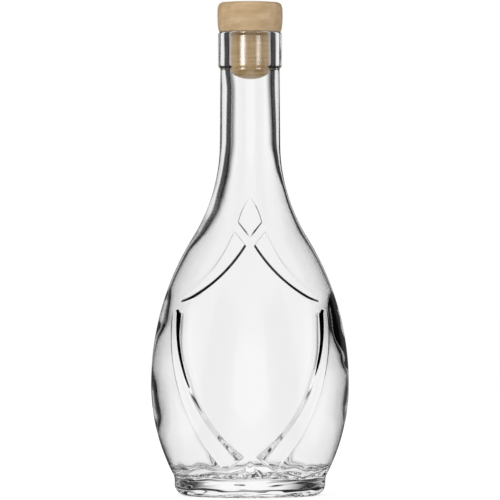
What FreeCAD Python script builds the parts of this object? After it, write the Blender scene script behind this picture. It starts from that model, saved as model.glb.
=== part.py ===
import FreeCAD, Part

import math
import os

# A half-litre decorative glass bottle with a T-shaped stopper.
# Millimetres, +Z up. The origin is on the table under the bottle's axis, and
# the decorated front faces -Y.

# Bottle, outside
BOTTLE_HEIGHT = 210.0
BODY_RADIUS = 44.85  # at the widest level
WIDEST_LEVEL = 50.5
UPPER_BODY_ARC = 126.0  # radius of the body's side above it
SHOULDER_ARC = 81.0  # hollow sweep from the body into the neck
NECK_RADIUS = 13.7
NECK_TOP_RADIUS = 13.4  # the neck is slimmest right under the finish
FOOT_RADIUS = 34.2
FOOT_HEIGHT = 8.3  # where the body's side runs into the foot
HEEL_ROUNDING = 5.5
FOOT_BLEND = 5.0  # hollow rounding where the body flares out of the foot

# Finish: the thickened ring round the mouth
FINISH_RADIUS = 14.45
FINISH_LENGTH = 17.0
FINISH_SLOPE = 1.8  # height of the slanted step under the ring
LIP_ROUNDING = 1.2
MOUTH_ROUNDING = 0.5

# Bottle, inside
BODY_WALL = 2.8
BORE_RADIUS = 9.25
FLOOR_THICKNESS = 8.5  # glass over the top of the punt
FLOOR_SAG = 1.5  # the floor inside is hollow like a saucer
INNER_HEEL_ROUNDING = 12.0

# Underside
PUNT_RADIUS = FOOT_RADIUS - 9.2
PUNT_HEIGHT = 2.6
PUNT_EDGE_ROUNDING = 1.0

# Stopper
SHANK_CLEARANCE = 0.1  # air between the shank and the bore
SHANK_LENGTH = 21.4  # below the head, with the rounded tip
SHANK_TIP_LENGTH = 4.6
HEAD_RADIUS = 14.8  # at the belly of its side
HEAD_BASE_RADIUS = 14.2
HEAD_TOP_RADIUS = 14.5
HEAD_HEIGHT = 14.0
HEAD_CROWN = 0.5  # rise of the domed top
HEAD_BELLY_LEVEL = 0.55  # share of the head's height
HEAD_TOP_ROUNDING = 2.2
HEAD_BASE_ROUNDING = 0.9

# Relief on the front: four ribbons round an almond-shaped panel and a diamond
# over and under it. Points are (sideways, height), as seen from the front.
PANEL_TOP = (1.6, 112.9)
PANEL_UPPER_SIDE = (29.7, 88.3)
PANEL_UPPER_SAG = 2.6
PANEL_LOWER_SIDE = (31.4, 84.4)
PANEL_BOTTOM = (2.6, 18.5)
PANEL_LOWER_SAG = 9.1
UPPER_RIBBON_OUTER_END = (6.7, 119.6)
UPPER_RIBBON_SAG = 3.0
LOWER_RIBBON_OUTER_END = (11.0, 12.4)
LOWER_RIBBON_SAG = 8.3
UPPER_RIBBON_BEVEL = 1.1  # width of the slope along the panel
LOWER_RIBBON_BEVEL = 2.8
RIBBON_EDGE = 0.45  # width of the slope along the outer edge
RIBBON_TIP_WIDTH = 1.8
RIBBON_TIP_LENGTH = 0.02  # the rounded tip's share of a ribbon's length
RIBBON_HEIGHT = 1.3
RIBBON_TIP_HEIGHT = 0.9
RIBBON_STEPS = 14  # stretches that a ribbon is made of
RELIEF_ROOT = 1.0  # how deep the relief's hidden base sits in the wall

UPPER_DIAMOND_TOP = 135.3
UPPER_DIAMOND_MIDDLE = 123.5
UPPER_DIAMOND_BOTTOM = 116.5
UPPER_DIAMOND_HALF_WIDTH = 5.6
LOWER_DIAMOND_TOP = 16.4
LOWER_DIAMOND_BOTTOM = 9.3  # the foot cuts the lower diamond off here
LOWER_DIAMOND_HALF_WIDTH = 6.0
UPPER_DIAMOND_BOW = 0.7  # bulge of its two upper sides
DIAMOND_HEIGHT = 1.2
DIAMOND_POINT = 0.35  # half width and height left at a diamond's points

RELIEF_SPREAD = BODY_RADIUS / 44.85  # the relief widens with the body

# Radius of the body's side below the widest level, down to the foot's top
FLARE = BODY_RADIUS - FOOT_RADIUS
LOWER_BODY_ARC = (FLARE**2 + (WIDEST_LEVEL - FOOT_HEIGHT) ** 2) / (2 * FLARE)

UP = FreeCAD.Vector(0, 0, 1)
ORIGIN = FreeCAD.Vector(0, 0, 0)


def at(radius, height):
    """A point of a half profile, in the plane y = 0."""
    return FreeCAD.Vector(radius, 0, height)


def line(start, end):
    return Part.makeLine(start, end)


def arc(start, end, centre, radius):
    """The short arc from start to end round a centre."""
    middle = (start + end) * 0.5 - centre
    middle.normalize()
    return Part.Arc(start, centre + middle * radius, end).toShape()


def sagging(start, end, sag):
    """An arc whose middle lies sag to the left of the way from start to end."""
    way = end - start
    side = FreeCAD.Vector(-way.z, 0, way.x)
    side.normalize()
    return Part.Arc(start, (start + end) * 0.5 + side * sag, end).toShape()


def revolve(edges):
    face = Part.Face(Part.Wire(edges))
    return face.revolve(ORIGIN, UP, 360)


def ring_edges(shape, radius, height):
    """The round edges of a revolved shape at a radius and height."""
    found = []
    for edge in shape.Edges:
        box = edge.BoundBox
        reach = max(abs(box.XMin), abs(box.XMax))
        is_flat = box.ZLength < 1e-4
        if is_flat and abs(reach - radius) < 1e-3 and abs(box.ZMax - height) < 1e-3:
            found.append(edge)
    return found


def rounded(shape, radius, corner):
    return shape.makeFillet(radius, ring_edges(shape, corner.x, corner.z))


class Side:
    """The body's side: a bulging lower and upper arc and a hollow shoulder.

    A wall thickness of 0 gives the outside, and the real one the inside.
    """

    def __init__(self, wall, neck_radius):
        self.lower_radius = LOWER_BODY_ARC - wall
        self.upper_radius = UPPER_BODY_ARC - wall
        self.shoulder_radius = SHOULDER_ARC + wall
        self.lower_centre = at(BODY_RADIUS - LOWER_BODY_ARC, WIDEST_LEVEL)
        self.upper_centre = at(BODY_RADIUS - UPPER_BODY_ARC, WIDEST_LEVEL)
        shoulder_x = neck_radius + self.shoulder_radius
        reach = self.upper_radius + self.shoulder_radius
        across = shoulder_x - self.upper_centre.x
        rise = math.sqrt(reach * reach - across * across)
        self.shoulder_centre = at(shoulder_x, WIDEST_LEVEL + rise)
        self.widest = at(BODY_RADIUS - wall, WIDEST_LEVEL)
        self.neck_start = at(neck_radius, self.shoulder_centre.z)
        share = self.upper_radius / reach
        self.turn = self.upper_centre + (self.shoulder_centre - self.upper_centre) * share

    def radius(self, height):
        """The side's radius at a height, from the foot to the neck."""
        if height < WIDEST_LEVEL:
            centre, size, sign = self.lower_centre, self.lower_radius, 1
        elif height < self.turn.z:
            centre, size, sign = self.upper_centre, self.upper_radius, 1
        elif height < self.neck_start.z:
            centre, size, sign = self.shoulder_centre, self.shoulder_radius, -1
        else:
            return self.neck_start.x
        return centre.x + sign * math.sqrt(size * size - (height - centre.z) ** 2)

    def level(self, radius):
        """The height under the widest level where the side has a radius."""
        across = radius - self.lower_centre.x
        return self.lower_centre.z - math.sqrt(self.lower_radius**2 - across**2)

    def edges(self, start):
        """The arcs from a start on the lower arc up to the neck."""
        return [
            arc(start, self.widest, self.lower_centre, self.lower_radius),
            arc(self.widest, self.turn, self.upper_centre, self.upper_radius),
            arc(self.turn, self.neck_start, self.shoulder_centre, self.shoulder_radius),
        ]


OUTSIDE = Side(0.0, NECK_RADIUS)
INSIDE = Side(BODY_WALL, BORE_RADIUS)


def on_front(sideways, height, lift=0.0):
    """A point of the body's front, lifted off its surface by some distance."""
    radius = OUTSIDE.radius(height)
    sideways = sideways * RELIEF_SPREAD
    step = 0.01
    slope = (OUTSIDE.radius(height + step) - OUTSIDE.radius(height - step)) / (2 * step)
    outward = FreeCAD.Vector(sideways, -math.sqrt(radius**2 - sideways**2), 0)
    normal = outward / radius - UP * slope
    normal.normalize()
    return outward + UP * height + normal * lift


def blown_body():
    """The outside of the bottle, solid."""
    foot_corner = at(FOOT_RADIUS, 0)
    foot_top = at(FOOT_RADIUS, OUTSIDE.level(FOOT_RADIUS))
    ring_top = at(FINISH_RADIUS, BOTTLE_HEIGHT)
    ring_bottom = at(FINISH_RADIUS, BOTTLE_HEIGHT - FINISH_LENGTH + FINISH_SLOPE)
    neck_top = at(NECK_TOP_RADIUS, BOTTLE_HEIGHT - FINISH_LENGTH)
    edges = [line(at(0, 0), foot_corner), line(foot_corner, foot_top)]
    edges += OUTSIDE.edges(foot_top)
    edges += [
        line(OUTSIDE.neck_start, neck_top),
        line(neck_top, ring_bottom),
        line(ring_bottom, ring_top),
        line(ring_top, at(0, BOTTLE_HEIGHT)),
        line(at(0, BOTTLE_HEIGHT), at(0, 0)),
    ]
    body = revolve(edges)
    body = rounded(body, HEEL_ROUNDING, foot_corner)
    body = rounded(body, FOOT_BLEND, foot_top)
    return rounded(body, LIP_ROUNDING, ring_top)


def cavity():
    """The space inside, from the floor out through the mouth."""
    middle = at(0, PUNT_HEIGHT + FLOOR_THICKNESS)
    rim_level = middle.z + FLOOR_SAG
    across = math.sqrt(INSIDE.lower_radius**2 - (WIDEST_LEVEL - rim_level) ** 2)
    rim = at(INSIDE.lower_centre.x + across, rim_level)
    above = at(BORE_RADIUS, BOTTLE_HEIGHT + 1)
    sphere_radius = (rim.x**2 + FLOOR_SAG**2) / (2 * FLOOR_SAG)
    edges = [arc(middle, rim, at(0, middle.z + sphere_radius), sphere_radius)]
    edges += INSIDE.edges(rim)
    edges += [
        line(INSIDE.neck_start, above),
        line(above, at(0, above.z)),
        line(at(0, above.z), middle),
    ]
    return rounded(revolve(edges), INNER_HEEL_ROUNDING, rim)


def punt():
    """The shallow dome under the base."""
    sphere_radius = (PUNT_RADIUS**2 + PUNT_HEIGHT**2) / (2 * PUNT_HEIGHT)
    centre = at(0, PUNT_HEIGHT - sphere_radius)
    start = at(PUNT_RADIUS, 0)
    top = at(0, PUNT_HEIGHT)
    below_rim = at(PUNT_RADIUS, -1)
    below = at(0, -1)
    return revolve([
        arc(start, top, centre, sphere_radius),
        line(top, below),
        line(below, below_rim),
        line(below_rim, start),
    ])


def along_arc(start, end, sag, share):
    """A point along an arc between two (sideways, height) points."""
    curve = sagging(at(*start), at(*end), sag).Curve
    first = curve.parameter(at(*start))
    last = curve.parameter(at(*end))
    if abs(last - first) > math.pi:
        last += 2 * math.pi if last < first else -2 * math.pi
    return curve.value(first + (last - first) * share)


def ribbon_section(inner, outer, height, bevel):
    """A crosswise section: a slope on the panel's side, a flat and a steep edge."""
    width = (outer - inner).Length
    across = (outer - inner) / width
    bevel = min(bevel, 0.45 * width)
    edge = min(RIBBON_EDGE, 0.3 * width)
    root = RELIEF_ROOT / height
    corners = (
        (inner - across * bevel * root, -RELIEF_ROOT),
        (inner + across * bevel, height),
        (outer - across * edge, height),
        (outer + across * edge * root, -RELIEF_ROOT),
    )
    points = [on_front(place.x, place.z, lift) for place, lift in corners]
    middle = (inner + outer) * 0.5
    start, end = (on_front(place.x, place.z) for place in (inner, outer))
    normal = on_front(middle.x, middle.z, 1.0) - on_front(middle.x, middle.z)
    along = (end - start).cross(normal)
    along.normalize()
    flat = [point - along * (point - start).dot(along) for point in points]
    return Part.makePolygon(flat + flat[:1])


def ribbon(inner_start, inner_end, inner_sag, outer_end, outer_sag, bevel):
    """A raised ribbon from its narrow rounded tip to its broad straight end."""
    way = at(*inner_end) - at(*inner_start)
    way.normalize()
    aside = FreeCAD.Vector(way.z, 0, -way.x)
    if aside.x < 0:
        aside = -aside
    outer_start = at(*inner_start) + aside * RIBBON_TIP_WIDTH
    outer_start = (outer_start.x, outer_start.z)
    tip = [RIBBON_TIP_LENGTH * share for share in (0.1, 0.4, 1.0)]
    steps = [step / RIBBON_STEPS for step in range(1, RIBBON_STEPS + 1)]
    sections = []
    for share in tip + steps:
        inner = along_arc(inner_start, inner_end, inner_sag, share)
        outer = along_arc(outer_start, outer_end, outer_sag, share)
        height = RIBBON_TIP_HEIGHT + (RIBBON_HEIGHT - RIBBON_TIP_HEIGHT) * math.sqrt(share)
        into_tip = max(0.0, 1.0 - share / RIBBON_TIP_LENGTH)
        roundness = math.sqrt(1.0 - into_tip**2)
        middle = (inner + outer) * 0.5
        inner = middle + (inner - middle) * roundness
        outer = middle + (outer - middle) * roundness
        sections.append(ribbon_section(inner, outer, height * roundness, bevel))
    return Part.makeLoft(sections, True, True)


def diamond_section(half_width, height, level):
    """A level section of a cushion on the front, with a round top."""
    radius = OUTSIDE.radius(level)
    half_width = half_width * RELIEF_SPREAD
    foot = math.sqrt(radius**2 - half_width**2)
    top = radius + height
    cushion = ((top - foot) ** 2 + half_width**2) / (2 * (top - foot))
    centre = FreeCAD.Vector(0, -(top - cushion), level)
    angle = min(1.35 * math.asin(min(half_width / cushion, 1.0)), 0.5 * math.pi)
    reach = FreeCAD.Vector(cushion * math.sin(angle), -cushion * math.cos(angle), 0)
    mirrored = FreeCAD.Vector(-reach.x, reach.y, 0)
    crown = centre - FreeCAD.Vector(0, cushion, 0)
    back = FreeCAD.Vector(0, RELIEF_ROOT, 0)
    right, left = centre + reach, centre + mirrored
    return Part.Wire([
        Part.Arc(left, crown, right).toShape(),
        line(right, right + back),
        line(right + back, left + back),
        line(left + back, left),
    ])


def cushion(levels):
    """A cushion through (level, half width, height) sections."""
    sections = [diamond_section(width, height, level) for level, width, height in levels]
    return Part.makeLoft(sections, True, True)


def diamonds():
    """The full diamond over the panel and the cut one under it."""
    halfway = 0.5 * (UPPER_DIAMOND_TOP + UPPER_DIAMOND_MIDDLE)
    half_width = 0.5 * (UPPER_DIAMOND_HALF_WIDTH + DIAMOND_POINT) + UPPER_DIAMOND_BOW
    upper = cushion([
        (UPPER_DIAMOND_BOTTOM, DIAMOND_POINT, DIAMOND_POINT),
        (UPPER_DIAMOND_MIDDLE, UPPER_DIAMOND_HALF_WIDTH, DIAMOND_HEIGHT),
        (halfway, half_width, 0.5 * (DIAMOND_HEIGHT + DIAMOND_POINT)),
        (UPPER_DIAMOND_TOP, DIAMOND_POINT, DIAMOND_POINT),
    ])
    lower = cushion([
        (LOWER_DIAMOND_BOTTOM, LOWER_DIAMOND_HALF_WIDTH, DIAMOND_HEIGHT),
        (LOWER_DIAMOND_TOP, DIAMOND_POINT, DIAMOND_POINT),
    ])
    return [upper, lower]


def relief():
    """All raised ornament of the front."""
    upper = ribbon(
        PANEL_UPPER_SIDE, PANEL_TOP, PANEL_UPPER_SAG,
        UPPER_RIBBON_OUTER_END, UPPER_RIBBON_SAG, UPPER_RIBBON_BEVEL,
    )
    lower = ribbon(
        PANEL_LOWER_SIDE, PANEL_BOTTOM, PANEL_LOWER_SAG,
        LOWER_RIBBON_OUTER_END, LOWER_RIBBON_SAG, LOWER_RIBBON_BEVEL,
    )
    pieces = [upper, lower]
    pieces += [piece.mirror(ORIGIN, FreeCAD.Vector(1, 0, 0)) for piece in (upper, lower)]
    return pieces + diamonds()


def bottle():
    glass = blown_body()
    for piece in relief():
        glass = glass.fuse(piece)
    glass = glass.cut(cavity())
    glass = rounded(glass, MOUTH_ROUNDING, at(BORE_RADIUS, BOTTLE_HEIGHT))
    glass = glass.cut(punt())
    return rounded(glass, PUNT_EDGE_ROUNDING, at(PUNT_RADIUS, 0))


def stopper_head():
    """A turned head with a bellied side, resting on the mouth."""
    seat = BOTTLE_HEIGHT
    base = at(HEAD_BASE_RADIUS, seat)
    belly = at(HEAD_RADIUS, seat + HEAD_BELLY_LEVEL * HEAD_HEIGHT)
    shoulder = at(HEAD_TOP_RADIUS, seat + HEAD_HEIGHT - HEAD_CROWN)
    crown = at(0, seat + HEAD_HEIGHT)
    dome = (shoulder.x**2 + HEAD_CROWN**2) / (2 * HEAD_CROWN)
    head = revolve([
        line(at(0, seat), base),
        Part.Arc(base, belly, shoulder).toShape(),
        arc(shoulder, crown, at(0, crown.z - dome), dome),
        line(crown, at(0, seat)),
    ])
    head = rounded(head, HEAD_TOP_ROUNDING, shoulder)
    return rounded(head, HEAD_BASE_ROUNDING, base)


def stopper_shank():
    """The plug in the bore, glued to the head, with a rounded tip."""
    radius = BORE_RADIUS - SHANK_CLEARANCE
    top = BOTTLE_HEIGHT
    edge = at(radius, top - SHANK_LENGTH + SHANK_TIP_LENGTH)
    tip = at(0, top - SHANK_LENGTH)
    sphere = (radius**2 + SHANK_TIP_LENGTH**2) / (2 * SHANK_TIP_LENGTH)
    return revolve([
        line(at(0, top), at(radius, top)),
        line(at(radius, top), edge),
        arc(edge, tip, at(0, tip.z + sphere), sphere),
        line(tip, at(0, top)),
    ])


os.makedirs("parts", exist_ok=True)
NODES = {"bottle": bottle, "stopper_head": stopper_head, "stopper_shank": stopper_shank}
for node, make in NODES.items():
    solid = make()
    solid.exportStep(f"parts/{node}.step")
    box = solid.BoundBox
    print(
        f"{node}: valid {solid.isValid()}, {len(solid.Solids)} solid,"
        f" {solid.Volume / 1000:.1f} ml, z {box.ZMin:.2f} to {box.ZMax:.2f}"
    )
print(f"inside {cavity().Volume / 1000:.0f} ml")
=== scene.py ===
import math

import bmesh
import bpy
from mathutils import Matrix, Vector, noise


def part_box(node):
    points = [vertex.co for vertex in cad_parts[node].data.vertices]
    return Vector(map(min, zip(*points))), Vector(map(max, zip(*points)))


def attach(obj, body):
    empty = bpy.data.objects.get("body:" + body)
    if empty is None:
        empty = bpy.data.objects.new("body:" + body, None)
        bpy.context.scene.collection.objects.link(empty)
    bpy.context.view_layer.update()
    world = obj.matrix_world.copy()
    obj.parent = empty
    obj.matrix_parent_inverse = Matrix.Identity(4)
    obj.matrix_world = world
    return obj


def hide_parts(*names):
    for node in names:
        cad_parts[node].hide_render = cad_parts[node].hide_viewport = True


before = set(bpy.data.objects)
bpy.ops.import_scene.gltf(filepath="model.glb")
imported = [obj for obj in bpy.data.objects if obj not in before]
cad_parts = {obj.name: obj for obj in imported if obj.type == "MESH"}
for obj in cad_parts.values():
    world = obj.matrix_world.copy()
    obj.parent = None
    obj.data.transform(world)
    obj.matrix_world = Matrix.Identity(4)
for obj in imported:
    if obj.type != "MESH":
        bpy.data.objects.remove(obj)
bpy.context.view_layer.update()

# A clear half-litre glass bottle with raised ribbons round an almond-shaped panel,
# and a wooden-headed stopper. Shapes are worked out in millimetres and built in metres.

MM = 0.001


def size_of(node):
    """Sizes of a node's box along x, y and z, in millimetres."""
    low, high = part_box(node)
    return [(b - a) / MM for a, b in zip(low, high)]


# Bottle, outside
BOTTLE_HEIGHT = size_of("bottle")[2]
BODY_RADIUS = size_of("bottle")[0] / 2
WIDEST_LEVEL = 50.5
FOOT_HEIGHT = 8.3
UPPER_BODY_ARC = 126.0
SHOULDER_ARC = 81.0
NECK_RADIUS = 13.7
NECK_TOP_RADIUS = 13.4
FOOT_RADIUS = 34.2
HEEL_ROUNDING = 5.5
FINISH_RADIUS = 14.45
FINISH_LENGTH = 17.0
FINISH_SLOPE = 1.8
LIP_ROUNDING = 1.2

# The lower side's arc is upright at the widest level and ends on the foot.
FLARE = BODY_RADIUS - FOOT_RADIUS
LOWER_BODY_ARC = (FLARE**2 + (WIDEST_LEVEL - FOOT_HEIGHT) ** 2) / (2 * FLARE)

# Bottle, inside
BODY_WALL = 2.8
BORE_RADIUS = 9.25
MOUTH_ROUNDING = 0.5
FLOOR_LEVEL = 11.1
FLOOR_SAG = 1.5
INNER_HEEL_ROUNDING = 5.5
PUNT_RADIUS = 25.0
PUNT_HEIGHT = 2.6

# Stopper
HEAD_BASE_RADIUS = 14.2
HEAD_BASE_ROUNDING = 0.9
HEAD_BELLY_LEVEL = 0.55  # of its height
HEAD_TOP_RADIUS = 14.5
HEAD_TOP_ROUNDING = 2.2
HEAD_CROWN = 0.5
SHANK_DOME = 4.6

# Relief, as (sideways, height) points seen from the front
PANEL_TOP = (1.6, 112.9)
PANEL_UPPER_SIDE = (28.8, 87.9)
PANEL_UPPER_SAG = 2.6
PANEL_LOWER_SIDE = (31.4, 84.4)
PANEL_BOTTOM = (2.6, 18.5)
PANEL_LOWER_SAG = 9.1
UPPER_RIBBON_OUTER_END = (6.7, 119.6)
UPPER_RIBBON_SAG = 3.0
LOWER_RIBBON_OUTER_END = (11.0, 12.4)
LOWER_RIBBON_SAG = 8.3
UPPER_RIBBON_BEVEL = 0.75
LOWER_RIBBON_BEVEL = 2.0
LOWER_RIBBON_STEEP = 34.0  # how far down from its tip the bevel stays as narrow as the upper one
LOWER_RIBBON_WIDENING = 14.0  # over which length it then gets its full width
RIBBON_EDGE = 0.5
SINK_WIDTH = 0.7  # the sunk line beside a ribbon's outer edge
SINK_DEPTH = 0.3
SINK_FADE = 16.0  # how far from the tip it reaches its depth
RIBBON_FOOT = 0.45  # how far the steep foot of the bevel reaches
RIBBON_FOOT_SHARE = 0.25  # of the height
UPPER_RIBBON_CUT = 0.55
LOWER_RIBBON_CUT = 0.7
UPPER_RIBBON_TIP_WIDTH = 2.2
LOWER_RIBBON_TIP_WIDTH = 3.0
RIBBON_TIP_ROUNDING = 2.2
UPPER_RIBBON_HEIGHT = 1.35
LOWER_RIBBON_HEIGHT = 1.8
RIBBON_TIP_HEIGHT = 1.0
RIBBON_TIP_BEVEL = 0.2  # the bevel's most, as a share of the ribbon's width
UPPER_DIAMOND = (116.5, 123.5, 135.3)  # levels of its bottom, corners and top
UPPER_DIAMOND_HALF_WIDTH = 5.6
UPPER_DIAMOND_BOW = 0.7
LOWER_DIAMOND = (9.3, 16.4)  # levels of its corners and top; its lower half is in the foot
LOWER_DIAMOND_HALF_WIDTH = 6.0
LOWER_DIAMOND_FADE = 0.8
DIAMOND_HEIGHT = 1.1
DIAMOND_RIM_SHARE = 0.55  # of the height, in the rim, and the rest in the cushion over it
DIAMOND_CUSHION_SHARE = 0.45
DIAMOND_EDGE = 0.75
DIAMOND_SLANT = 0.85  # how far off a slanted side is, as a share of how far it is sideways
DIAMOND_FULL_WIDTH = 0.5  # from which share of its width on it has its full height
DIAMOND_POINT = 0.35

# Mesh
ROW_STEP = 0.36  # spacing of the rows over the relief
PUNT_STEP = 2.2
FOOT_STEP = 0.4
SHOULDER_STEP = 1.4
NECK_STEP = 2.4
RING_STEP = 1.6
INSIDE_STEP = 1.9
FLOOR_STEP = 1.6
STRETCHES = (4, 4, 6, 3, 7, 7, 5, 4, 12)  # columns between the relief's lines, middle to side
COLUMN_GAP = 0.35  # the least between two lines
# How far past a feature its column lies, as a share of the feature's width
PAST_STEP = 1.2
PAST_BEVEL = 1.25
PAST_CUT = 1.6
PAST_EDGE = 1.4
PAST_DIAMOND = 1.1
BACK_COLUMNS = 26
PLAIN_LOW = 4.0  # levels outside which the columns are evenly spread
PLAIN_HIGH = 142.0
TURNING_STEPS = 96
MERGE_DISTANCE = 0.001

# Light. The glass sees a studio: white panels with dark gaps between them, and a white table.
AMBIENT = 0.6  # the strength of the white world on matt surfaces
FLOOR_REACH = 6.0
FLOOR_GLOW = 0.47  # for the eye alone, so that the table runs into the white behind it
PANEL_TO_GAP = 45  # degrees between the middle of a panel and the middle of a gap
PANEL_EDGES = (14, 39)  # degrees off the middle of each white panel, where it fades
BOUNCED_EDGES = (14, 31)  # the same for light that bounced inside the glass
NEAR_TABLE = (0.8, 1.0)  # metres out to where the table is white all round
NEAR_TABLE_BOUNCED = (0.07, 0.11)
NEAR_TABLE_LEVEL = 0.85
DARK_ROOM = 0.015
EDGE_CROSSINGS = 2.5  # light that crossed fewer surfaces only went through a wall's edge
TABLE_THROUGH_WALL = 0.12  # the table for such light
TABLE_THROUGH_WALL_FROM = (0.05, 0.1)  # metres out to where it gets that dark
GLANCE_LEVEL = 0.1
ECHO_LEVEL = 0.5

# Lamps, as (name, place, watts), and strips, as (name, degrees off the front, watts)
LAMPS = (("key", (-0.9, -1.6, 1.2), 16), ("fill", (1.3, -1.2, 0.7), 2.5))
LAMP_SIZE = (0.8, 0.8)
LAMP_AIM = (0, 0, 0.12)
STRIPS = (("left_strip", -39, 26.0), ("right_strip", 46, 15.0))
STRIP_SIZE = (0.36, 0.5)
STRIP_LEVEL = 0.2

CAMERA_DISTANCE = 2.4
CAMERA_LEVEL = 0.1112
CAMERA_FIELD = 0.2268  # what it sees from side to side at the bottle
SENSOR = 36.0
CLIP_END = 50

# Patterns of the materials, as sizes along x, y and z in millimetres. The rings are
# really finer than half a millimetre, which is too fine to show.
WOOD_GRAIN = (20.0, 3.3, 3.3)
CORK_RINGS = (14.0, 14.0, 1.1)
NOISE_SPAN = (0.3, 0.7)  # where nearly all of the noise's values lie
GRAIN_DEPTH = 0.2

# Unevenness of the blown glass, as (length of the waves, how high they are)
WALL_WAVE = (22.0, 0.16)
WALL_RIPPLE = (9.0, 0.03)
FLOOR_WAVE = (11.0, 1.9)
FLOOR_RIPPLE = (4.0, 0.6)
PUNT_WAVE = (7.0, 2.2)
FOOT_RIPPLE = (1.7, 0.23)
RING_RIPPLE = (5.0, 0.1)
FLOOR_WAVE_REACH = 6.5  # how far up from the floor its waves fade
FOOT_RIPPLE_START = 4.0  # outside the punt
FOOT_RIPPLE_SLOWING = 0.2  # sideways, so that the ripples lie level
RING_RIPPLE_SLOWING = 0.5  # upwards
BORE_SHIFT = 0.3
CALM_LENGTH = 8.0  # under the ring, over which the unevenness sets in
# Levels of the noise that each of them is cut from
FLOOR_WAVE_CUT = 3.0
FLOOR_RIPPLE_CUT = 9.0
PUNT_WAVE_CUT = 5.0
# Glass added to the wall at either side, by level, and how closely it keeps to the sides
WALL_SIDEWAYS = 6
WALL_LEFT = (
    (18, -1.0), (28, -1.3), (37, 0.0), (47, -0.1), (60, -1.5), (70, -0.9), (80, 0.2), (87, 0.0),
    (94, -0.9), (110, -0.8), (119, 0.0), (129, 0.4), (139, 0.0), (150, 0.0), (161, 0.2),
    (190, 0.4),
)
WALL_RIGHT = (
    (22, -1.2), (32, -1.2), (41, -0.2), (55, -0.6), (63, 0.5), (75, 1.5), (84, 1.2), (92, -0.7),
    (108, -0.7), (118, -0.5), (130, -0.8), (139, -1.0), (150, -0.6), (161, -0.2), (190, 0.2),
)


class Arc:
    """An arc through two (sideways, height) points, its middle sag off the chord."""

    def __init__(self, start, end, sag):
        start, end = Vector(start), Vector(end)
        way = end - start
        side = Vector((-way.y, way.x)).normalized()
        if sag < 0:
            side, sag = -side, -sag
        self.radius = (way.length_squared / 4 + sag * sag) / (2 * sag)
        self.centre = (start + end) / 2 + side * (sag - self.radius)
        self.sign = 1 if self.centre.x < (start.x + end.x) / 2 else -1

    def sideways(self, height):
        rise = min(abs(height - self.centre.y), self.radius)
        return self.centre.x + self.sign * math.sqrt(self.radius**2 - rise**2)

    def beyond(self, x, z):
        """How far a point lies outside the arc's circle."""
        return math.hypot(x - self.centre.x, z - self.centre.y) - self.radius


def beside(start, end, distance):
    """The point beside a line's start, on the outer side."""
    way = (Vector(end) - Vector(start)).normalized()
    aside = Vector((way.y, -way.x))
    if aside.x < 0:
        aside = -aside
    return tuple(Vector(start) + aside * distance)


def eased(share):
    """A ramp from 0 to 1 with slightly rounded ends."""
    share = min(max(share, 0.0), 1.0)
    return 0.5 * share + 0.5 * share * share * (3 - 2 * share)


def between(share, low, high):
    """The value at a share of the way from low to high."""
    return low + (high - low) * min(max(share, 0.0), 1.0)


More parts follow.
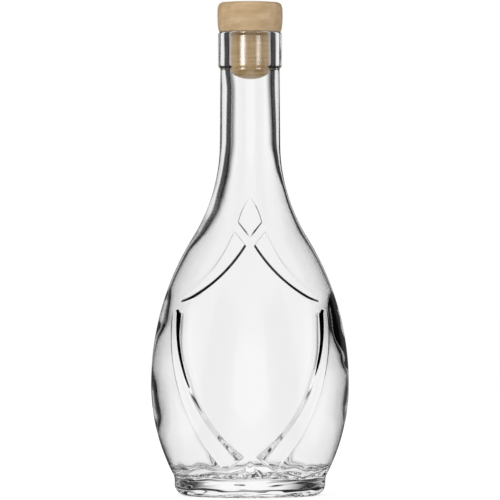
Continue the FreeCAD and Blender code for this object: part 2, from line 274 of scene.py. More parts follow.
class Ribbon:
    """One raised ribbon, from its rounded tip to its straight slanted end."""

    def __init__(self, tip, end, inner_sag, tip_width, outer_end, outer_sag, bevel, slant, full):
        outer_tip = beside(tip, end, tip_width)
        self.inner = Arc(tip, end, inner_sag)
        self.outer = Arc(outer_tip, outer_end, outer_sag)
        self.tip = Vector(tip)
        self.end, self.outer_end = Vector(end), Vector(outer_end)
        self.up = 1 if self.end.y > self.tip.y else -1
        self.bevel = bevel
        self.tip_width = tip_width
        self.slant = slant
        self.full = full
        cut = self.outer_end - self.end
        normal = Vector((cut.y, -cut.x)).normalized()
        self.cut_normal = normal if normal.dot(self.tip - self.end) > 0 else -normal
        self.inner_side = 1 if self.inner.beyond(*self.outer_end) > 0 else -1
        self.outer_side = 1 if self.outer.beyond(*self.end) > 0 else -1

    def cut(self, height):
        """Where the slanted end lies sideways at a height."""
        share = (height - self.end.y) / (self.outer_end.y - self.end.y)
        return between(share, self.end.x, self.outer_end.x)

    def past_end(self, height):
        return (height - self.end.y) * self.up > 0

    def lines(self, height):
        """Sideways places of the foot, step, crease, crest, outer foot and sunk line."""
        inner = self.inner.sideways(height)
        outer = self.outer.sideways(height)
        foot = self.cut(height) if self.past_end(height) else inner
        step = foot + PAST_STEP * RIBBON_FOOT
        slope = PAST_BEVEL * self.width_of_bevel(inner, height)
        crease = max(inner + slope, foot + self.slant * PAST_CUT)
        crest = outer - PAST_EDGE * RIBBON_EDGE
        return foot, step, crease, crest, outer, outer + PAST_STEP * SINK_WIDTH

    def width_of_bevel(self, x, z):
        width = abs(self.inner.beyond(x, z)) + abs(self.outer.beyond(x, z))
        widening = (abs(z - self.tip.y) - LOWER_RIBBON_STEEP) / LOWER_RIBBON_WIDENING
        return min(between(widening, UPPER_RIBBON_BEVEL, self.bevel), RIBBON_TIP_BEVEL * width)

    def height(self, x, z):
        """How far the ribbon stands out at a point, or the line beside it sinks in."""
        along = (z - self.tip.y) * self.up
        if along < 0:
            return 0.0
        inside = self.inner.beyond(x, z) * self.inner_side
        outside = self.outer.beyond(x, z) * self.outer_side
        off_cut = (Vector((x, z)) - self.end).dot(self.cut_normal)
        if min(inside, off_cut) > 0 and -SINK_WIDTH < outside < 0:
            middle = 1 - abs(2 * outside / SINK_WIDTH + 1)
            return -SINK_DEPTH * middle * min(along / SINK_FADE, 1.0)
        if min(inside, outside, off_cut) <= 0:
            return 0.0
        share = min(along / abs(self.end.y - self.tip.y), 1.0)
        full = between(share, RIBBON_TIP_HEIGHT, self.full)
        into_tip = 1 - min(along / RIBBON_TIP_ROUNDING, 1.0)
        rounded_off = 0.5 * self.tip_width * (1 - math.sqrt(1 - into_tip**2))
        inside, outside = inside - rounded_off, outside - rounded_off
        if min(inside, outside) <= 0:
            return 0.0
        ramps = (
            between(
                RIBBON_FOOT_SHARE,
                eased(inside / self.width_of_bevel(x, z)), eased(inside / RIBBON_FOOT),
            ),
            eased(outside / RIBBON_EDGE),
            eased(off_cut / self.slant),
        )
        return full * min(ramps) * math.sqrt(1 - into_tip**2)


UPPER_RIBBON = Ribbon(
    PANEL_UPPER_SIDE, PANEL_TOP, PANEL_UPPER_SAG, UPPER_RIBBON_TIP_WIDTH,
    UPPER_RIBBON_OUTER_END, UPPER_RIBBON_SAG, UPPER_RIBBON_BEVEL, UPPER_RIBBON_CUT,
    UPPER_RIBBON_HEIGHT,
)
LOWER_RIBBON = Ribbon(
    PANEL_LOWER_SIDE, PANEL_BOTTOM, PANEL_LOWER_SAG, LOWER_RIBBON_TIP_WIDTH,
    LOWER_RIBBON_OUTER_END, LOWER_RIBBON_SAG, LOWER_RIBBON_BEVEL, LOWER_RIBBON_CUT,
    LOWER_RIBBON_HEIGHT,
)


def diamond_half_width(z):
    """Half the width of the diamond at a level, or None off both diamonds."""
    bottom, corners, top = UPPER_DIAMOND
    if bottom < z <= corners:
        return between((z - bottom) / (corners - bottom), DIAMOND_POINT, UPPER_DIAMOND_HALF_WIDTH)
    if corners < z < top:
        share = (z - corners) / (top - corners)
        bow = UPPER_DIAMOND_BOW * 4 * share * (1 - share)
        return between(share, UPPER_DIAMOND_HALF_WIDTH, DIAMOND_POINT) + bow
    low, high = LOWER_DIAMOND
    if low < z < high:
        return between((z - low) / (high - low), LOWER_DIAMOND_HALF_WIDTH, DIAMOND_POINT)
    return None


def diamond_height(x, z):
    """How far a diamond stands out at a point."""
    half = diamond_half_width(z)
    if half is None or abs(x) >= half:
        return 0.0
    full = DIAMOND_HEIGHT * min(half / (DIAMOND_FULL_WIDTH * UPPER_DIAMOND_HALF_WIDTH), 1.0)
    edge = eased(DIAMOND_SLANT * (half - abs(x)) / DIAMOND_EDGE)
    fade = min((z - LOWER_DIAMOND[0]) / LOWER_DIAMOND_FADE, 1.0)
    cushion = 1 - (x / half) ** 2
    return full * fade * (DIAMOND_RIM_SHARE * edge + DIAMOND_CUSHION_SHARE * cushion)


def relief(x, z):
    """How far the ornament stands out of the skin at a point seen from the front."""
    x = abs(x)
    heights = UPPER_RIBBON.height(x, z), LOWER_RIBBON.height(x, z), diamond_height(x, z)
    return max(heights) or min(heights)


def relief_lines(z):
    """Sideways places that the columns follow at a level, from the middle out."""
    upper_tip, lower_tip = UPPER_RIBBON.tip.y, LOWER_RIBBON.tip.y
    upper_end, lower_end = UPPER_RIBBON.outer_end.y, LOWER_RIBBON.outer_end.y
    if z >= upper_tip:
        lines = UPPER_RIBBON.lines(min(z, upper_end))
    elif z <= lower_tip:
        lines = LOWER_RIBBON.lines(max(z, lower_end))
    else:
        share = (z - lower_tip) / (upper_tip - lower_tip)
        pairs = zip(LOWER_RIBBON.lines(lower_tip), UPPER_RIBBON.lines(upper_tip))
        lines = [between(share, low, high) for low, high in pairs]
    foot, *rest = lines
    # Above the ribbons, and off the diamonds, the lines only have to spread evenly.
    if z > upper_end:
        foot += 0.35 * (z - upper_end)
    half = diamond_half_width(z)
    first = 0.36 * foot if half is None else min(half, 0.8 * foot)
    spread = [first - min(PAST_DIAMOND * DIAMOND_EDGE, 0.5 * first), first, foot, *rest]
    for index in range(1, len(spread)):
        spread[index] = max(spread[index], spread[index - 1] + COLUMN_GAP)
    return spread


class Side:
    """The body's side: a bulging lower and upper arc and a hollow shoulder."""

    def __init__(self, wall, neck_radius):
        self.lower_radius = LOWER_BODY_ARC - wall
        self.upper_radius = UPPER_BODY_ARC - wall
        self.shoulder_radius = SHOULDER_ARC + wall
        self.lower_x = BODY_RADIUS - LOWER_BODY_ARC
        self.upper_x = BODY_RADIUS - UPPER_BODY_ARC
        self.shoulder_x = neck_radius + self.shoulder_radius
        reach = self.upper_radius + self.shoulder_radius
        rise = math.sqrt(reach**2 - (self.shoulder_x - self.upper_x) ** 2)
        self.neck_start = WIDEST_LEVEL + rise
        self.turn = WIDEST_LEVEL + rise * self.upper_radius / reach
        self.neck_radius = neck_radius

    def radius(self, z):
        if z < WIDEST_LEVEL:
            return self.lower_x + math.sqrt(self.lower_radius**2 - (z - WIDEST_LEVEL) ** 2)
        if z < self.turn:
            return self.upper_x + math.sqrt(self.upper_radius**2 - (z - WIDEST_LEVEL) ** 2)
        if z < self.neck_start:
            down = self.neck_start - z
            return self.shoulder_x - math.sqrt(self.shoulder_radius**2 - down**2)
        return self.neck_radius

    def level(self, radius):
        """The height under the widest level where the side has a radius."""
        return WIDEST_LEVEL - math.sqrt(self.lower_radius**2 - (radius - self.lower_x) ** 2)


OUTSIDE = Side(0.0, NECK_RADIUS)
INSIDE = Side(BODY_WALL, BORE_RADIUS)


def round_corner(centre, radius, first, last, steps):
    """Points of a rounding; angles are in degrees from the outward direction."""
    points = []
    for step in range(steps + 1):
        angle = math.radians(first + (last - first) * step / steps)
        points.append((centre[0] + radius * math.cos(angle), centre[1] + radius * math.sin(angle)))
    return points


def spaced(low, high, step):
    """Even values from low to high, about a step apart."""
    count = max(1, round(abs(high - low) / step))
    return [low + (high - low) * index / count for index in range(count + 1)]


def outer_profile():
    """(radius, height) from the punt up to the lip, and the relief's levels.

    Small offsets keep a row just before and just after each edge.
    """
    sphere = (PUNT_RADIUS**2 + PUNT_HEIGHT**2) / (2 * PUNT_HEIGHT)
    points = [(0.0, PUNT_HEIGHT)]
    for radius in spaced(2.0, PUNT_RADIUS - 0.8, PUNT_STEP):
        points.append((radius, PUNT_HEIGHT - sphere + math.sqrt(sphere**2 - radius**2)))
    points += [(PUNT_RADIUS - 0.3, 0.03), (PUNT_RADIUS + 0.4, 0.0)]
    points.append((PUNT_RADIUS + 2.0, 0.0))
    heel = (FOOT_RADIUS - HEEL_ROUNDING, HEEL_ROUNDING)
    points += round_corner(heel, HEEL_ROUNDING, -90, 0, 14)
    foot_top = OUTSIDE.level(FOOT_RADIUS)
    upright = spaced(HEEL_ROUNDING + 0.5, foot_top - 1.2, FOOT_STEP)
    points += [(FOOT_RADIUS, z) for z in upright]
    points += [(FOOT_RADIUS + 0.05, foot_top - 0.6), (FOOT_RADIUS + 0.22, foot_top + 0.1)]
    relief_top = UPPER_DIAMOND[2] + 1.0
    points += [(OUTSIDE.radius(z), z) for z in spaced(foot_top + 0.7, relief_top, ROW_STEP)]
    ring_bottom = BOTTLE_HEIGHT - FINISH_LENGTH
    shoulder = spaced(relief_top + 1.2, OUTSIDE.neck_start, SHOULDER_STEP)
    points += [(OUTSIDE.radius(z), z) for z in shoulder]
    for z in spaced(OUTSIDE.neck_start + 2.0, ring_bottom - 0.6, NECK_STEP):
        share = (z - OUTSIDE.neck_start) / (ring_bottom - OUTSIDE.neck_start)
        points.append((between(share, NECK_RADIUS, NECK_TOP_RADIUS), z))
    step = FINISH_RADIUS - NECK_TOP_RADIUS
    for share in (0.0, 0.15, 0.35, 0.6, 0.8, 0.93, 1.0):
        out = eased(eased(share))
        points.append((NECK_TOP_RADIUS + step * out, ring_bottom + FINISH_SLOPE * share))
    lip = (FINISH_RADIUS - LIP_ROUNDING, BOTTLE_HEIGHT - LIP_ROUNDING)
    ring = spaced(ring_bottom + FINISH_SLOPE + 0.5, lip[1] - 0.4, RING_STEP)
    points += [(FINISH_RADIUS, z) for z in ring]
    points += round_corner(lip, LIP_ROUNDING, 0, 90, 8)
    return points, (foot_top + 0.7, relief_top)


def inner_profile():
    """(radius, height) from the lip over the mouth down to the floor's middle."""
    mouth = (BORE_RADIUS + MOUTH_ROUNDING, BOTTLE_HEIGHT - MOUTH_ROUNDING)
    points = [(0.5 * (BORE_RADIUS + FINISH_RADIUS), BOTTLE_HEIGHT)]
    points += round_corner(mouth, MOUTH_ROUNDING, 90, 180, 5)
    rounding = INNER_HEEL_ROUNDING
    # The rounding's centre keeps its distance from the side and from the floor.
    centre_z = FLOOR_LEVEL + 0.75 * FLOOR_SAG + rounding
    reach = INSIDE.lower_radius - rounding
    centre_r = INSIDE.lower_x + math.sqrt(reach**2 - (WIDEST_LEVEL - centre_z) ** 2)
    lean = math.degrees(math.atan2(centre_z - WIDEST_LEVEL, centre_r - INSIDE.lower_x))
    touch = centre_z + rounding * math.sin(math.radians(lean))
    for z in spaced(BOTTLE_HEIGHT - 1.5, touch + 1.0, INSIDE_STEP):
        points.append((INSIDE.radius(z), z))
    points += round_corner((centre_r, centre_z), rounding, lean, -86, 14)
    rim_r, rim_z = points[-1]
    for radius in spaced(rim_r - FLOOR_STEP, 0.0, FLOOR_STEP):
        points.append((radius, FLOOR_LEVEL + (rim_z - FLOOR_LEVEL) * (radius / rim_r) ** 2))
    return points


def even_angles():
    """Angles from the front to the back that spread the columns evenly."""
    front = sum(STRETCHES)
    angles = [90.0 * step / front for step in range(front)]
    angles += [90.0 + 90.0 * step / BACK_COLUMNS for step in range(BACK_COLUMNS + 1)]
    return [math.radians(angle) for angle in angles]


EVEN = even_angles()


def relief_angles(radius, z):
    """Angles from the front that put columns on the relief's lines."""
    marks = [0.0] + [math.asin(min(x / radius, 0.97)) for x in relief_lines(z)]
    marks.append(0.5 * math.pi)
    angles = []
    for (low, high), count in zip(zip(marks, marks[1:]), STRETCHES):
        angles += [low + (high - low) * step / count for step in range(count)]
    return angles + EVEN[sum(STRETCHES):]


def row_angles(radius, z):
    """The columns' angles in a row, which ease from the relief's lines to even ones."""
    low, high = LOWER_RIBBON.outer_end.y, UPPER_DIAMOND[2]
    if z < PLAIN_LOW or z > PLAIN_HIGH:
        return EVEN
    widest = max(radius, OUTSIDE.radius(min(max(z, low), high)))
    aligned = relief_angles(widest, min(max(z, LOWER_DIAMOND[0]), high))
    share = 0.0
    if z < low:
        share = (low - z) / (low - PLAIN_LOW)
    elif z > high:
        share = (z - high) / (PLAIN_HIGH - high)
    share = eased(share)
    return [a + (b - a) * share for a, b in zip(aligned, EVEN)]


def uneven(point, scale, amount):
    """A slow unevenness, as blown glass has."""
    return amount * noise.noise(Vector(point) / scale)


def stepping(table, level):
    """A smooth way through (level, value) pairs."""
    if level <= table[0][0]:
        return table[0][1]
    for (low, first), (high, last) in zip(table, table[1:]):
        if level < high:
            share = (level - low) / (high - low)
            return first + (last - first) * share * share * (3 - 2 * share)
    return table[-1][1]


def swell_of_wall(x, y, z):
    """How much further out the blown inside is than the plain one."""
    point = (x, y, z)
    swell = uneven(point, *WALL_WAVE) + uneven(point, *WALL_RIPPLE)
    table = WALL_LEFT if x < 0 else WALL_RIGHT
    sideways = (x / math.hypot(x, y)) ** WALL_SIDEWAYS
    return swell - sideways * stepping(table, z)


def swell_of_skin(x, y, z):
    """The foot's level ripples and the ring's slow ones; the rest of the outside is true."""
    if z > BOTTLE_HEIGHT - FINISH_LENGTH:
        return uneven((x, y, RING_RIPPLE_SLOWING * z), *RING_RIPPLE)
    if z < FOOT_HEIGHT and math.hypot(x, y) > PUNT_RADIUS + FOOT_RIPPLE_START:
        slow_x, slow_y = FOOT_RIPPLE_SLOWING * x, FOOT_RIPPLE_SLOWING * y
        return uneven((slow_x, slow_y, z), *FOOT_RIPPLE)
    return 0.0


def outside_point(angle, radius, z, decorated):
    """A point of the skin, with its ripples, the punt's waves and the ornament."""
    x, y = radius * math.sin(angle), -radius * math.cos(angle)
    radius += swell_of_skin(x, y, z)
    x, y = radius * math.sin(angle), -radius * math.cos(angle)
    if z < PUNT_HEIGHT + 0.1 and radius < PUNT_RADIUS:
        z += uneven((x, y, PUNT_WAVE_CUT), *PUNT_WAVE) * (1 - (radius / PUNT_RADIUS) ** 2)
    if not decorated or y > 0:
        return x, y, z
    near = 0.05
    slope = (OUTSIDE.radius(z + near) - OUTSIDE.radius(z - near)) / (2 * near)
    tilt = math.atan(slope)
    lift = relief(x, z)
    out = lift * math.cos(tilt)
    return x + out * math.sin(angle), y - out * math.cos(angle), z - lift * math.sin(tilt)


def inside_point(angle, radius, z):
    """A point of the inside, with the swelling of the wall and the floor's waves."""
    x, y = math.sin(angle), -math.cos(angle)
    below = BOTTLE_HEIGHT - FINISH_LENGTH - z
    calm = between(below / CALM_LENGTH, 0.0, 1.0)
    if calm > 0 and radius > 0:
        radius += calm * swell_of_wall(radius * x, radius * y, z)
    x, y = radius * x, radius * y
    onset = eased((FLOOR_LEVEL + FLOOR_WAVE_REACH - z) / FLOOR_WAVE_REACH)
    if onset > 0:
        wave = uneven((x, y, FLOOR_WAVE_CUT), *FLOOR_WAVE)
        z += onset * (wave + uneven((x, y, FLOOR_RIPPLE_CUT), *FLOOR_RIPPLE))
    return x + BORE_SHIFT * calm, y, z


def finished(name, mesh, material, slot, *nodes):
    """Makes a smooth-shaded piece with its material, hangs it on the root body and hides the CAD
    nodes it stands for.
    """
    piece = bpy.data.objects.new(name, mesh)
    bpy.context.scene.collection.objects.link(piece)
    mesh.materials.append(material)
    for polygon in mesh.polygons:
        polygon.use_smooth = True
    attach(piece, "root")
    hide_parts(*nodes)
    return piece


def build_glass(material):
    """Rolls a grid into the bottle: out from the punt, up, over the lip and down inside."""
    outside, decorated = outer_profile()
    profile = outside + inner_profile()
    half = len(EVEN) - 1
    build = bmesh.new()
    bmesh.ops.create_grid(build, x_segments=2 * half, y_segments=len(profile) - 1, size=1.0)
    rows = {}
    for vertex in build.verts:
        column = round(vertex.co.x * half)
        row = round((vertex.co.y + 1) / 2 * (len(profile) - 1))
        radius, z = profile[row]
        inside = row >= len(outside)
        if row not in rows:
            rows[row] = EVEN if inside else row_angles(radius, z)
        angle = math.copysign(rows[row][abs(column)], column)
        if inside:
            vertex.co = inside_point(angle, radius, z)
        else:
            within = decorated[0] <= z <= decorated[1]
            vertex.co = outside_point(angle, radius, z, within)
    bmesh.ops.remove_doubles(build, verts=build.verts, dist=MERGE_DISTANCE)
    bmesh.ops.scale(build, vec=(MM, MM, MM), verts=build.verts)
    bmesh.ops.recalc_face_normals(build, faces=build.faces)
    mesh = bpy.data.meshes.new("clear_bottle")
    build.to_mesh(mesh)
    build.free()
    return finished("clear_bottle", mesh, material, "clear_glass", "bottle")


def lathe(name, profile, material, slot, node):
    """Turns a (radius, height) profile in millimetres into a closed piece."""
    build = bmesh.new()
    chain = [build.verts.new((radius * MM, 0, z * MM)) for radius, z in profile]
    edges = [build.edges.new(pair) for pair in zip(chain, chain[1:])]
    bmesh.ops.spin(
        build, geom=chain + edges, cent=(0, 0, 0), axis=(0, 0, 1),
        angle=2 * math.pi, steps=TURNING_STEPS, use_merge=True,
    )
    bmesh.ops.remove_doubles(build, verts=build.verts, dist=MERGE_DISTANCE * MM)
    bmesh.ops.recalc_face_normals(build, faces=build.faces)
    mesh = bpy.data.meshes.new(name)
    build.to_mesh(mesh)
    build.free()
    return finished(name, mesh, material, slot, node)


def add(tree, kind, inputs=None, **settings):
    """Adds a shader node; inputs are values or sockets to link."""
    node = tree.nodes.new(kind)
    for key, value in settings.items():
        setattr(node, key, value)
    for key, value in (inputs or {}).items():
        if isinstance(value, bpy.types.NodeSocket):
            tree.links.new(value, node.inputs[key])
        else:
            node.inputs[key].default_value = value
    return node


def colour(hex_code, alpha=1.0):
    """An sRGB hex colour as linear RGBA."""
    channels = [int(hex_code[i:i + 2], 16) / 255 for i in (0, 2, 4)]
    linear = [c / 12.92 if c <= 0.04045 else ((c + 0.055) / 1.055) ** 2.4 for c in channels]
    return (*linear, alpha)


def new_material(name):
    """A material with a bare shader on its output."""
    material = bpy.data.materials.new(name)
    material.use_nodes = True
    tree = material.node_tree
    tree.nodes.clear()
    shader = add(tree, "ShaderNodeBsdfPrincipled")
    output = add(tree, "ShaderNodeOutputMaterial", {"Surface": shader.outputs[0]})
    return material, tree, shader, output


def clear_glass():
    """Blown soda-lime glass, fire-polished: colourless, mirror smooth, dark only at its edges."""
    material, tree, shader, output = new_material("clear_soda_lime_glass")
    shader.inputs["Base Color"].default_value = colour("ffffff")
    shader.inputs["Roughness"].default_value = 0.0
    shader.inputs["IOR"].default_value = 1.5
    shader.inputs["Transmission Weight"].default_value = 1.0
    # Shadow rays pass, so that the stopper inside is lit.
    path = add(tree, "ShaderNodeLightPath")
    clear = add(tree, "ShaderNodeBsdfTransparent", {"Color": colour("f2f2f2")})
    mix = add(tree, "ShaderNodeMixShader", {
        0: path.outputs["Is Shadow Ray"], 1: shader.outputs[0], 2: clear.outputs[0],
    })
    tree.links.new(mix.outputs[0], output.inputs["Surface"])
    return material


def streaks(tree, sizes, detail):
    """Noise whose patches have the given sizes along the axes, in millimetres."""
    place = add(tree, "ShaderNodeTexCoord").outputs["Object"]
    scale = [1 / (size * MM) for size in sizes]
    stretched = add(tree, "ShaderNodeMapping", {"Vector": place, "Scale": scale})
    noise_node = add(tree, "ShaderNodeTexNoise", {
        "Vector": stretched.outputs[0], "Scale": 1.0, "Detail": detail, "Roughness": 0.6,
    })
    return noise_node.outputs["Fac"]


def two_tones(tree, pattern, first, last):
    """Runs from one colour to another over a noise's span."""
    factor = add(tree, "ShaderNodeMapRange", {
        "Value": pattern, "From Min": NOISE_SPAN[0], "From Max": NOISE_SPAN[1],
    })
    tones = {0: factor.outputs[0], 6: colour(first), 7: colour(last)}
    return add(tree, "ShaderNodeMix", tones, data_type="RGBA").outputs[2]


def pale_wood():
    """Beech, turned and sanded, unvarnished: matt, with fine straight grain across the head."""
    material, tree, shader, _ = new_material("turned_beech")
    grain = streaks(tree, WOOD_GRAIN, 5.0)
    tone = two_tones(tree, grain, "b8996f", "d3b793")
    tree.links.new(tone, shader.inputs["Base Color"])
    shader.inputs["Roughness"].default_value = 0.62
    bump = add(tree, "ShaderNodeBump", {
        "Height": grain, "Strength": 0.25, "Distance": GRAIN_DEPTH * MM,
    })
    tree.links.new(bump.outputs[0], shader.inputs["Normal"])
    return material


def beige_plug():
    """Extruded synthetic cork with a skin: smooth enough for streaks of light, faint rings."""
    material, tree, shader, _ = new_material("beige_synthetic_cork")
    rings = streaks(tree, CORK_RINGS, 3.0)
    tone = two_tones(tree, rings, "b8945c", "dcb880")
    tree.links.new(tone, shader.inputs["Base Color"])
    shader.inputs["Roughness"].default_value = 0.24
    shader.inputs["Coat Weight"].default_value = 0.8
    shader.inputs["Coat Roughness"].default_value = 0.12
    return material


def head_profile():
    """(radius, height) of the head: flat below, bellied at its side, slightly crowned."""
    seat = BOTTLE_HEIGHT
    height = size_of("stopper_head")[2]
    belly = size_of("stopper_head")[0] / 2
    points = [(0.0, seat)] + [(radius, seat) for radius in (4.0, 8.0, 11.5)]
    below = (HEAD_BASE_RADIUS - HEAD_BASE_ROUNDING, seat + HEAD_BASE_ROUNDING)
    points += round_corner(below, HEAD_BASE_ROUNDING, -90, -6, 6)
    for share in (0.15, 0.27, 0.4, HEAD_BELLY_LEVEL, 0.68, 0.78):
        lean = (share - HEAD_BELLY_LEVEL) / HEAD_BELLY_LEVEL
        points.append((belly - (belly - HEAD_BASE_RADIUS) * lean * lean, seat + share * height))
    edge = height - HEAD_CROWN - HEAD_TOP_ROUNDING
    above = (HEAD_TOP_RADIUS - HEAD_TOP_ROUNDING, seat + edge)
    points += round_corner(above, HEAD_TOP_ROUNDING, 4, 84, 9)
    rim = points[-1][0]
    rise = seat + height - points[-1][1]
    for share in (0.85, 0.65, 0.4, 0.2, 0.0):
        points.append((rim * share, seat + height - rise * share * share))
    return points


def shank_profile():
    """(radius, height) of the shank, from its domed tip up to the head."""
    low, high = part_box("stopper_shank")
    radius = (high[0] - low[0]) / 2 / MM
    tip, top, dome = low[2] / MM, high[2] / MM, SHANK_DOME
    points = [(0.0, tip)]
    for share in (0.15, 0.3, 0.45, 0.6, 0.72, 0.82, 0.9, 0.95, 0.98):
        points.append((radius * share, tip + dome * (1 - math.sqrt(1 - share**2))))
    points += [(radius - 0.05, tip + dome - 0.06), (radius, tip + dome + 0.4)]
    points += [(radius, z) for z in spaced(tip + dome + 2, top, 2.0)]
    return points + [(radius * 0.5, top), (0.0, top)]


def bounces(tree, path):
    """1 for light that was reflected inside the glass, 0 for what went straight through."""
    inner = add(tree, "ShaderNodeMath", {
        0: path.outputs["Transmission Depth"], 1: path.outputs["Glossy Depth"],
    }, operation="MINIMUM", use_clamp=True)
    return inner.outputs[0]


def glances(tree, path):
    """Outside glances and echoes off the far wall show a dim room: dark outlines, even middle."""
    inside = add(tree, "ShaderNodeMath", {
        0: path.outputs["Transmission Depth"], 1: GLANCE_LEVEL,
    }, operation="MAXIMUM", use_clamp=True)
    deep = add(tree, "ShaderNodeMath", {
        0: path.outputs["Transmission Depth"], 1: EDGE_CROSSINGS,
    }, operation="GREATER_THAN")
    echo = add(tree, "ShaderNodeMath", {
        0: deep.outputs[0], 1: bounces(tree, path),
    }, operation="MULTIPLY")
    dimmed = add(tree, "ShaderNodeMapRange", {
        "Value": echo.outputs[0], "To Min": inside.outputs[0], "To Max": ECHO_LEVEL,
    })
    return dimmed.outputs[0]


def panels(tree, way, path):
    """White panels behind, before and beside the bottle, with dark gaps between them."""
    axes = add(tree, "ShaderNodeSeparateXYZ", {0: way})
    turn = add(tree, "ShaderNodeMath", {
        0: axes.outputs[0], 1: axes.outputs[1],
    }, operation="ARCTAN2")
    off = add(tree, "ShaderNodeMath", {
        0: turn.outputs[0], 1: math.radians(PANEL_TO_GAP),
    }, operation="PINGPONG")
    up = add(tree, "ShaderNodeMath", {0: axes.outputs[2]}, operation="ARCSINE")
    height = add(tree, "ShaderNodeMath", {0: up.outputs[0], 1: 0.0}, operation="MAXIMUM")
    both = add(tree, "ShaderNodeCombineXYZ", {0: off.outputs[0], 1: height.outputs[0]})
    away = add(tree, "ShaderNodeVectorMath", {0: both.outputs[0]}, operation="LENGTH")
    edge = add(tree, "ShaderNodeMapRange", {
        "Value": bounces(tree, path),
        "To Min": math.radians(PANEL_EDGES[1]), "To Max": math.radians(BOUNCED_EDGES[1]),
    })
    panel = add(tree, "ShaderNodeMapRange", {
        "Value": away.outputs["Value"],
        "From Min": math.radians(PANEL_EDGES[0]), "From Max": edge.outputs[0],
        "To Min": 1.0, "To Max": DARK_ROOM,
    }, interpolation_type="SMOOTHSTEP")
    return panel.outputs[0]


def build_floor():
    """A white table. Far off, the glass sees the dark gaps between the panels in it."""
    build = bmesh.new()
    bmesh.ops.create_grid(build, x_segments=1, y_segments=1, size=FLOOR_REACH)
    mesh = bpy.data.meshes.new("floor")
    build.to_mesh(mesh)
    build.free()
    floor = bpy.data.objects.new("floor", mesh)
    bpy.context.scene.collection.objects.link(floor)
    material, tree, shader, output = new_material("white_floor")
    place = add(tree, "ShaderNodeTexCoord").outputs["Object"]
    path = add(tree, "ShaderNodeLightPath")
    sheet = panels(tree, place, path)
    bounced = bounces(tree, path)
    far = add(tree, "ShaderNodeVectorMath", {0: place}, operation="LENGTH")
    reaches = []
    for plain, after in zip(NEAR_TABLE, NEAR_TABLE_BOUNCED):
        reach = add(tree, "ShaderNodeMapRange", {
            "Value": bounced, "To Min": plain, "To Max": after,
        })
        reaches.append(reach.outputs[0])
    solid = add(tree, "ShaderNodeMath", {
        0: path.outputs["Transmission Depth"], 1: EDGE_CROSSINGS,
    }, operation="LESS_THAN")
    beyond = add(tree, "ShaderNodeMapRange", {
        "Value": far.outputs["Value"],
        "From Min": TABLE_THROUGH_WALL_FROM[0], "From Max": TABLE_THROUGH_WALL_FROM[1],
    })
    edge_light = add(tree, "ShaderNodeMath", {
        0: solid.outputs[0], 1: beyond.outputs[0],
    }, operation="MULTIPLY")
    white = add(tree, "ShaderNodeMapRange", {
        "Value": edge_light.outputs[0], "To Min": NEAR_TABLE_LEVEL, "To Max": TABLE_THROUGH_WALL,
    })
    near = add(tree, "ShaderNodeMapRange", {
        "Value": far.outputs["Value"], "From Min": reaches[0], "From Max": reaches[1],
        "To Min": white.outputs[0], "To Max": 0.0,
    })
    table = add(tree, "ShaderNodeMath", {0: near.outputs[0], 1: sheet}, operation="MAXIMUM")
    seen = add(tree, "ShaderNodeMath", {
        0: table.outputs[0], 1: glances(tree, path),
    }, operation="MINIMUM")
    shader.inputs["Base Color"].default_value = colour("f3f3f3")
    shader.inputs["Roughness"].default_value = 0.9
    shader.inputs["Specular IOR Level"].default_value = 0.0
    shader.inputs["Emission Color"].default_value = colour("ffffff")
    glow = add(tree, "ShaderNodeMath", {
        0: path.outputs["Is Camera Ray"], 1: FLOOR_GLOW,
    }, operation="MULTIPLY")
    tree.links.new(glow.outputs[0], shader.inputs["Emission Strength"])
    bare = add(tree, "ShaderNodeMath", {
        0: path.outputs["Is Camera Ray"], 1: path.outputs["Diffuse Depth"],
    }, operation="MAXIMUM", use_clamp=True)
    lit = add(tree, "ShaderNodeEmission", {
        "Color": colour("ffffff"), "Strength": seen.outputs[0],
    })
    mix = add(tree, "ShaderNodeMixShader", {
        0: bare.outputs[0], 1: lit.outputs[0], 2: shader.outputs[0],
    })
    tree.links.new(mix.outputs[0], output.inputs["Surface"])
    mesh.materials.append(material)


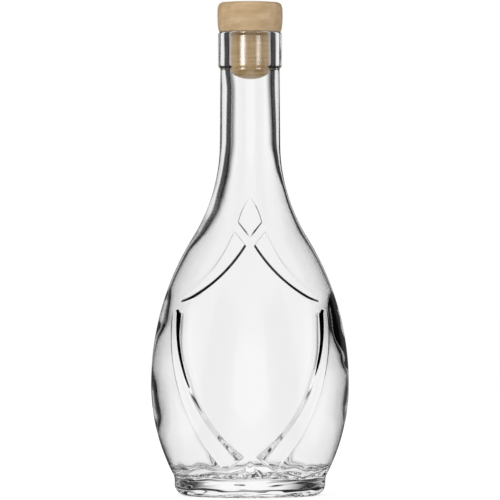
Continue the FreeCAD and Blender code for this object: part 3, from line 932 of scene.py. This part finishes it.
def build_world():
    """Plain white to look at; the glass sees the panels and a dark room between them."""
    world = bpy.data.worlds.new("white_studio")
    bpy.context.scene.world = world
    world.use_nodes = True
    tree = world.node_tree
    tree.nodes.clear()
    path = add(tree, "ShaderNodeLightPath")
    way = add(tree, "ShaderNodeTexCoord").outputs["Generated"]
    through = add(tree, "ShaderNodeMath", {
        0: panels(tree, way, path), 1: glances(tree, path),
    }, operation="MINIMUM")
    camera = add(tree, "ShaderNodeMapRange", {
        "Value": path.outputs["Is Camera Ray"], "To Min": through.outputs[0], "To Max": 1.0,
    })
    plain = add(tree, "ShaderNodeMapRange", {
        "Value": path.outputs["Diffuse Depth"], "To Min": camera.outputs[0], "To Max": AMBIENT,
    })
    shade = add(tree, "ShaderNodeBackground", {
        "Color": colour("ffffff"), "Strength": plain.outputs[0],
    })
    add(tree, "ShaderNodeOutputWorld", {"Surface": shade.outputs[0]})


def add_light(name, place, aim, size, power):
    """A lamp for matt surfaces, which the glass doesn't show."""
    light = bpy.data.lights.new(name, "AREA")
    light.shape = "RECTANGLE"
    light.size, light.size_y = size
    light.energy = power
    lamp = bpy.data.objects.new(name, light)
    bpy.context.scene.collection.objects.link(lamp)
    lamp.visible_glossy = lamp.visible_transmission = False
    lamp.location = place
    lamp.rotation_euler = (Vector(aim) - Vector(place)).to_track_quat("-Z", "Y").to_euler()
    return lamp


def add_strips(shank):
    """Two tall narrow lamps whose streaks show on the shank alone."""
    shown = bpy.data.collections.new("lit_by_strips")
    shown.objects.link(shank)
    for name, azimuth, power in STRIPS:
        angle = math.radians(azimuth)
        place = (math.sin(angle), -math.cos(angle), STRIP_LEVEL)
        lamp = add_light(name, place, (0, 0, STRIP_LEVEL), STRIP_SIZE, power)
        lamp.light_linking.receiver_collection = shown
        lamp.visible_glossy, lamp.visible_diffuse = True, False


def build_camera():
    """A long lens, level with the bottle's middle."""
    data = bpy.data.cameras.new("camera")
    data.sensor_width = SENSOR
    data.lens = SENSOR * CAMERA_DISTANCE / CAMERA_FIELD
    data.clip_end = CLIP_END
    camera = bpy.data.objects.new("camera", data)
    bpy.context.scene.collection.objects.link(camera)
    camera.location = (0.0, -CAMERA_DISTANCE, CAMERA_LEVEL)
    camera.rotation_euler = (0.5 * math.pi, 0, 0)
    bpy.context.scene.camera = camera


bpy.context.scene.view_settings.view_transform = "Standard"
build_glass(clear_glass())
lathe("beech_head", head_profile(), pale_wood(), "pale_wood", "stopper_head")
shank = lathe("plug_shank", shank_profile(), beige_plug(), "beige_plug", "stopper_shank")
build_floor()
build_world()
add_strips(shank)
for name, place, power in LAMPS:
    add_light(name, place, LAMP_AIM, LAMP_SIZE, power)
build_camera()
